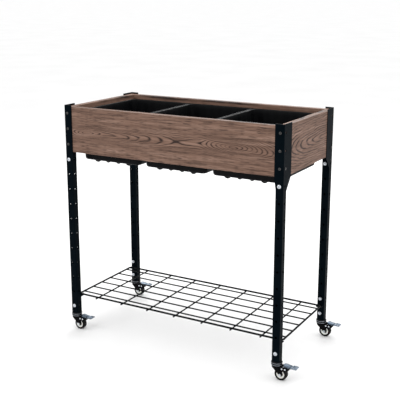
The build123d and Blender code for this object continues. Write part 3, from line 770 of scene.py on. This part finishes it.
def driven(fastener, number, place, direction):
    """A fastener turned about its own axis by an uneven angle, as screws end up, and put in its place."""
    a = number * uneven
    turn = np.array([[math.cos(a), math.sin(a), 0], [-math.sin(a), math.cos(a), 0], [0, 0, 1]])
    return aimed(fastener @ turn, place, direction)


print("top hole at", round(hole_level(0), 1), "mm, lowest used at", round(hole_level(13), 1), "mm")

# %% The screws of the box
screw_head = (8.6, 2.4, 4.4)  # head, its height, and shank
screw, short_screw = pan_head(*screw_head, 50.0), pan_head(*screw_head, 8.0)
box_screws = []
for n, (sx, sy) in enumerate(SIGNS.values()):
    box_screws += [driven(screw, 5 * n + k, (sx * post[0], sy * outer[1], hole_level(k)), (0, -sy, 0))
                   for k in (0, 1, 2)]
    side_hole = (sx * outer[0], sy * post[1], hole_level(2))
    box_screws.append(driven(short_screw, 5 * n + 3, side_hole, (-sx, 0, 0)))
install(piece_from_grids("box_screws", box_screws), ROOT, dark_screw, "board_screws")

# %% Bolts with their nuts
bolt = pan_head(12.0, 3.6, 6.0, 34.0, rings=24, around=60)
hex_nut = hexagon_nut(10.0, 5.0, 6.0)
plate = 2.0  # bracket or clip between leg and nut
bolt_places = {"bracket": [(sx, sy, 3) for sx, sy in SIGNS.values()],
               "shelf": [(sx, sy, k) for sx, sy in SIGNS.values() for k in ((12, 13) if sy > 0 else (13,))]}
for use, places in bolt_places.items():
    bolts = [driven(bolt, n + 7, (sx * post[0], sy * outer[1], hole_level(k)), (0, -sy, 0))
             for n, (sx, sy, k) in enumerate(places)]
    nuts = [driven(hex_nut, n + 3, (sx * post[0], sy * (outer[1] - tube - plate), hole_level(k)), (0, -sy, 0))
            for n, (sx, sy, k) in enumerate(places)]
    install(piece_from_grids(use + "_bolts_cross", bolts), ROOT, zinc_plate, use + "_bolts")
    install(piece_from_grids(use + "_nuts_hex", nuts, sharp=25.0), ROOT, zinc_plate, use + "_nuts")

# %% [markdown]
# The trays hang on two steel angles inside the long boards. Four screws go through each angle into
# its board, with their heads inside the box, so these point outwards.

# %% The screws of the rails
rail_low, rail_high = box_mm("tray_rail_front")
rail_wall, rail_pitch, rail_drop = 2.0, 212.4, 12.0
rail_screw = pan_head(*screw_head, 15.0)
rail_face = -rail_low[1] - rail_wall
rail_places = [(i * rail_pitch, sy) for sy in (-1, 1) for i in (-1.5, -0.5, 0.5, 1.5)]
rail_screws = [driven(rail_screw, n, (x, sy * rail_face, rail_high[2] - rail_drop), (0, sy, 0))
               for n, (x, sy) in enumerate(rail_places)]
install(piece_from_grids("rail_screws_cross", rail_screws), ROOT, zinc_plate, "rail_screws")

# %% [markdown]
# ## The wire shelf
# Long wires lie on cross wires, a thicker rim wire goes round them, and every crossing is resistance
# welded, which squeezes out a small bead before the shelf is dip coated. A wire is a tube with round
# ends; the rim is a tube carried round a rectangle with bent corners; a bead is a squashed ball.

# %% Wires, rim and weld beads
shelf_low, shelf_high = box_mm("wire_shelf")
rim_wire, grid_wire = 6.0, 4.6
melt = 0.4  # crossing wires sink this far into each other
overhang = 3.0  # of the cross wires, past the rim
end_gap, side_gap = 71.5, 26.5  # from the rim to the first cross wire and long wire
rim_x, rim_y = shelf_high[:2] - (0, overhang) - rim_wire / 2
rim_z = shelf_high[2] - rim_wire / 2
cross_z = rim_z - (rim_wire + grid_wire) / 2 + melt
long_z = cross_z + grid_wire - melt
weld_z = (cross_z + long_z) / 2
print("rim at", round(rim_z, 1), "mm, shelf", np.round(2 * shelf_high[:2], 1), "mm")


def wire(start, end, diameter, around=14):
    """Straight tube with half-ball ends, from start to end."""
    start, end = np.array(start, float), np.array(end, float)
    length, r = np.linalg.norm(end - start), diameter / 2
    a = np.linspace(0, math.pi / 2, 4)
    near = [(r * math.sin(t), r - r * math.cos(t)) for t in a]
    far = [(r * math.sin(t), length - r + r * math.cos(t)) for t in a[::-1]]
    return aimed(turned(near + far, around), start, end - start)


def rim_tube(half_x, half_y, radius, z, diameter, around=18):
    """Tube carried round a rounded rectangle: each ring lies in the plane across the path."""
    path = rounded_rectangle(half_x, half_y, radius, per_corner=12)
    ahead = np.roll(path, -1, 0) - np.roll(path, 1, 0)
    ahead /= np.linalg.norm(ahead, axis=1, keepdims=True)
    out = np.stack([ahead[:, 1], -ahead[:, 0]], -1)
    a, r = circle(around), diameter / 2
    flat = path[:, None] + r * np.cos(a)[None, :, None] * out[:, None]
    rings = np.concatenate([flat, np.broadcast_to(z + r * np.sin(a), flat.shape[:2])[..., None]], -1)
    return np.concatenate([rings, rings[:1]])


def bead(x, y, z, wide, tall):
    """Squashed ball: a turned half circle, wide across and tall along Z."""
    t = np.linspace(0, math.pi, 7)
    return turned(np.stack([wide * np.sin(t), -tall * np.cos(t)], -1), 10) + np.array([x, y, z])


# %% The shelf
rim_bend = 9.0
cross_bead, side_bead, end_bead = (3.1, 1.7), (3.3, 1.9), (2.2, 2.8)  # half width, half height
long_y = (rim_y - side_gap) * np.linspace(-1, 1, 6)
cross_x = (rim_x - end_gap) * np.linspace(-1, 1, 7)
shelf = [rim_tube(rim_x, rim_y, rim_bend, rim_z, rim_wire)]
shelf += [wire((-rim_x, y, long_z), (rim_x, y, long_z), grid_wire) for y in long_y]
shelf += [wire((x, shelf_low[1], cross_z), (x, shelf_high[1], cross_z), grid_wire) for x in cross_x]
shelf += [bead(x, y, weld_z, *cross_bead) for x in cross_x for y in long_y]
shelf += [bead(x, sy * rim_y, weld_z, *side_bead) for x in cross_x for sy in (-1, 1)]
shelf += [bead(sx * (rim_x - rim_wire / 2), y, long_z, *end_bead) for y in long_y for sx in (-1, 1)]
install(piece_from_grids("welded_wire_shelf", shelf), ROOT, wire_coat, "wire_shelf")

# %% [markdown]
# ## The casters
# Forks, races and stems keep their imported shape. The wheel is made closer: a pale nylon core with a
# deep dish and eight ribs, inside a black tread with a moulded centre line. Both are turned, and the
# ribs are a height added to the dish that depends on the angle.

# %% Wheel core and tread
tyre_low, tyre_high = box_mm("tyre_front_left")
wheel_radius = (tyre_high[2] - tyre_low[2]) / 2
wheel_half = (tyre_high[1] - tyre_low[1]) / 2
tread_depth = 6.4
core_radius = wheel_radius - tread_depth
sleeve_radius, hollow_radius = 5.2, 7.4
bore_profile = [(3.05, 7.6), (3.05, 8.2), (3.6, 8.5)]  # radius and height, in mm
dish_profile = [(0.0, 8.5), (0.04, 7.8), (0.10, 4.0), (0.24, 3.2), (0.285, 3.2), (0.30, 5.2), (0.34, 6.2),
                (0.48, 6.0), (0.62, 5.8), (0.76, 6.2), (0.84, 7.2), (0.93, 7.5), (1.0, 7.2)]
rib_lift, rib_share, rib_spread = 1.2, 0.6, 0.14  # ribs: height, and where on the dish
print("wheel, mm:", round(2 * wheel_radius, 1), "core:", round(2 * core_radius, 1))


def wheel_core(around=96):
    """Skin of both faces of the core, and 1 where it belongs to the dark hollow round the axle.

    The dish profile goes by the share of the way from the sleeve to the rim. Ribs lift it by a bell
    curve of that share times 3 cos(4a)^2 - 2, which leaves eight narrow ones.
    """
    a = circle(around)
    bore, dish = np.array(bore_profile), np.array(dish_profile)
    r = np.concatenate([bore[:, 0], sleeve_radius + (core_radius - sleeve_radius) * dish[:, 0]])
    bell = np.concatenate([np.zeros(len(bore)), np.exp(-((dish[:, 0] - rib_share) / rib_spread) ** 2)])
    rib = np.clip(np.cos(4 * a) ** 2 * 3 - 2, 0, 1)
    face = np.concatenate([bore[:, 1], dish[:, 1]])[:, None] + rib_lift * bell[:, None] * rib
    front = polar(r[:, None], a, face)
    skin = np.concatenate([front, front[::-1] * np.array([1, 1, -1]), front[:1]])
    return skin, (np.hypot(skin[..., 0], skin[..., 1]) < hollow_radius).astype(float)


def tread():
    """Black ring: rounded shoulders, a fine moulded line round the middle, and a step at the core."""
    w, r, bend = wheel_half, wheel_radius, 2.4
    half = [(core_radius - 0.1, 0), (core_radius - 0.1, w - 0.9), (core_radius + 0.7, w - 0.2), (r - 3.2, w)]
    half += [(r - bend + bend * math.sin(t), w - bend + bend * math.cos(t))
             for t in np.linspace(0, math.pi / 2, 6)]
    half += [(r, 0.5), (r - 0.25, 0.25), (r - 0.25, 0)]
    return turned(half + [(radius, -height) for radius, height in half[::-1]], 96)


def core_finish():
    """The pale nylon, with its middle, marked by the hollow attribute, coloured near black."""
    tree = wheel_nylon.node_tree
    target = tree.nodes["Principled BSDF"].inputs["Base Color"]
    hollow = node(tree, "ShaderNodeAttribute", attribute_name="hollow").outputs["Fac"]
    mixed(tree, hollow, target.links[0].from_socket, (0.004, 0.004, 0.004, 1), target)
    return wheel_nylon


# %% The four wheels
core_nylon = core_finish()
skin, hollow = wheel_core()
ring = tread()
for corner in SIGNS:
    centre = np.mean(box_mm("tyre_" + corner), axis=0)
    body = "wheel_" + corner
    core = piece_from_grids("wheel_core_" + corner, [aimed(skin, centre, (0, 1, 0))],
                            values=("hollow", [hollow]))
    install(core, body, core_nylon, "hub_" + corner)
    install(piece_from_grids("tread_" + corner, [aimed(ring, centre, (0, 1, 0))]), body,
            tyre_rubber, "tyre_" + corner)

# %% [markdown]
# The brake pedal is pressed from one sheet: a lever that slopes down, a small step, and a wider foot
# plate with a turned-up border and three tread ridges, so that a shoe finds it. It could be bent from
# a flat mesh, but its section is a simple loop whose width and height change along the lever. Two
# ears go down to the pivot rivet. The axle gets a domed head and a small hexagon nut.

# %% The pressed lever and its ears
slope_end, plate_start, lever_end = 20.0, 25.0, 42.0  # places along the lever, mm from its root
sheet = 1.5  # thickness of the plate
half_widths = [(0, 6.5), (1.2, 8.2), (3, 9), (20, 9), (23, 11), (25, 12), (40, 12), (42, 10.4)]
levels = [(0, -0.3), (20, -3.0), (23.4, -5.2), (42, -5.6)]  # below the top of its box
ridge_middle, ridge_pitch, ridge_reach = 32.5, 4.0, 5.2
border_height, ridge_height, crown_height = 0.9, 0.55, 0.9
border_start, border_run, ridge_share = 0.76, 0.14, 0.62  # shares of the half width
tip_border, tip_run = 3.6, 1.6
pivot_reach, eye = 6.5, 3.6  # of the ears, from the root


def pressed_lever(low, high):
    """Closed loop across the sheet, carried along X: half width and height come from the place x.

    top height = level - crown * (y / w)^2 + border * smooth step of |y| / w + squared cosine ridges.
    """
    x = np.concatenate([np.linspace(0, slope_end, 21), np.linspace(slope_end + 0.5, plate_start, 10),
                        np.linspace(plate_start + 0.6, lever_end, 42)])
    half = np.interp(x, *np.transpose(half_widths))[:, None]
    level = np.interp(x, *np.transpose(levels))[:, None]
    plate = np.clip((x - plate_start + 1) / 2, 0, 1)[:, None]
    across = np.linspace(-1, 1, 33)
    side = np.clip((np.abs(across) - border_start) / border_run, 0, 1)
    tip = np.clip((x - lever_end + tip_border) / tip_run, 0, 1)[:, None]
    border = np.maximum(side, tip)
    ridges = np.clip(np.cos((x - ridge_middle) * 2 * math.pi / ridge_pitch), 0, 1) ** 2
    ridges = (ridges * (np.abs(x - ridge_middle) < ridge_reach))[:, None] * (np.abs(across) < ridge_share)
    lift = plate * (border_height * border ** 2 * (3 - 2 * border) + ridge_height * ridges)
    crown = crown_height * (1 - plate) * across ** 2
    y = half * across + (low[1] + high[1]) / 2
    top = np.stack([np.broadcast_to(low[0] + x[:, None], y.shape), y, high[2] + level - crown + lift], -1)
    loop = np.concatenate([top, top[:, ::-1] - np.array([0, 0, sheet])], 1)
    ends = [np.repeat(loop[n].mean(0)[None, None], loop.shape[1], 1) for n in (0, -1)]
    return np.concatenate([ends[0], loop, ends[1]])


def ear(low, high, y0, y1):
    """Plate between y0 and y1: a half circle round the pivot, joined by straight lines to the sheet."""
    pivot_x, pivot_z = low[0] + pivot_reach, low[2] + eye
    a = np.linspace(math.pi, 2 * math.pi, 14)
    round_end = np.stack([pivot_x + eye * np.cos(a), pivot_z + eye * np.sin(a)], -1)
    lid = np.array([[low[0] + slope_end, high[2] - 4.4], [low[0] + 2.0, high[2] - 1.8]])
    outline = np.concatenate([round_end, lid])
    near, far = (np.insert(outline, 1, y, axis=1) for y in (y0, y1))
    caps = [np.repeat(ring.mean(0)[None], len(outline), 0) for ring in (near, far)]
    return np.stack([caps[0], near, far, caps[1]])


print("lever:", lever_end, "mm long,", 2 * max(half for _, half in half_widths), "mm wide")

# %% Pedals and axles
ear_inner, ear_outer = 6.6, 8.2  # faces of an ear, from the middle plane
cheek_half = 10.6  # outer faces of the fork, from the same plane
axle_bolt, axle_nut = pan_head(9.0, 2.4, 6.0, 2 * cheek_half), hexagon_nut(7.6, 3.2, 4.0)
stub = turned([(0, 0), (2.0, 0), (2.0, 3.7), (1.5, 4.3), (0, 4.3)], 24)
for corner in SIGNS:
    low, high = box_mm("pedal_" + corner)
    middle_y = (low[1] + high[1]) / 2
    ears = [ear(low, high, middle_y + y0, middle_y + y1)
            for y0, y1 in ((-ear_outer, -ear_inner), (ear_inner, ear_outer))]
    install(piece_from_grids("pedal_pressed_" + corner, [pressed_lever(low, high)] + ears, sharp=40.0),
            "brake_" + corner, pedal_plate, "pedal_" + corner)
    x, _, z = np.mean(box_mm("tyre_" + corner), axis=0)
    places = ((axle_bolt, cheek_half), (axle_nut, -cheek_half), (stub, -cheek_half))
    axle = [aimed(grid, (x, middle_y + offset, z), (0, -1, 0)) for grid, offset in places]
    install(piece_from_grids("axle_bolt_" + corner, axle), "swivel_" + corner,
            zinc_plate, "axle_" + corner)

# %% [markdown]
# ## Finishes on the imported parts
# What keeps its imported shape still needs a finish: each node takes the one of its kind.

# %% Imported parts
finish_of = {"leg_": powder_coat, "tray_rail": powder_coat, "board_brackets": powder_coat,
             "shelf_clips": powder_coat, "stem_sockets": socket_plastic, "stem_": black_race,
             "race_": black_race, "fork_": fork_enamel, "rivets_": zinc_plate, "shoe_": shoe_rubber}
for name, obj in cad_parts.items():
    finish = next((finish for start, finish in finish_of.items() if name.startswith(start)), None)
    if finish:
        obj.data.materials.clear()
        obj.data.materials.append(finish)
        print(name, "takes", finish.name)

# %% [markdown]
# ## Studio
# A pale floor, a bright even sky and four large soft lamps show the black parts without hard
# reflections. The camera stands off the front right corner, a little above the box, and looks down
# at its middle.

# %% Floor, light and camera
reach = 400.0  # metres, so that its edge fades into the sky
floor_mesh = bpy.data.meshes.new("floor")
corners = [(-reach, -reach, 0), (reach, -reach, 0), (reach, reach, 0), (-reach, reach, 0)]
floor_mesh.from_pydata(corners, [], [(0, 1, 2, 3)])
floor = bpy.data.objects.new("floor", floor_mesh)
bpy.context.scene.collection.objects.link(floor)
floor_paint = plain_finish("floor_paint", (0.86, 0.86, 0.86), (0.90, 0.90, 0.90),
                           (0.7, 0.8), 1.5, 60.0, 0.0001, Specular_IOR_Level=0.2)
floor.data.materials.append(floor_paint)

world = bpy.data.worlds.new("studio")
bpy.context.scene.world = world
world.use_nodes = True
background = world.node_tree.nodes["Background"]
background.inputs["Color"].default_value = (1.0, 1.0, 1.0, 1.0)
background.inputs["Strength"].default_value = 1.12
bpy.context.scene.view_settings.view_transform = "Standard"


def lamp(name, place, size, power):
    """Square soft lamp at a place in metres, aimed at the middle of the planter."""
    light = bpy.data.lights.new(name, "AREA")
    light.size, light.energy = size, power
    obj = bpy.data.objects.new(name, light)
    obj.location = place
    middle = Vector((whole_low + whole_high) / 2 * MM)
    obj.rotation_euler = (middle - Vector(place)).to_track_quat("-Z", "Y").to_euler()
    bpy.context.scene.collection.objects.link(obj)


lamp("key", (-1.6, -2.6, 2.6), 1.6, 22.0)
lamp("side", (3.0, 0.2, 1.6), 1.6, 8.0)
lamp("top", (0.3, 0.4, 3.0), 2.0, 22.0)
lamp("back_top", (-0.9, 2.6, 2.2), 1.6, 30.0)

camera = bpy.data.objects.new("camera", bpy.data.cameras.new("camera"))
look_down, turn_left = 13.124, 29.821  # degrees
camera.location = (1.2451, -2.1580, 1.1128)
camera.rotation_euler = (math.radians(90 - look_down), 0, math.radians(turn_left))
camera.data.sensor_width = 36.0
camera.data.lens = 72.02
camera.data.shift_y = -0.06
bpy.context.scene.collection.objects.link(camera)
bpy.context.scene.camera = camera
print("camera", round(camera.location.length, 2), "m from the middle of the floor")
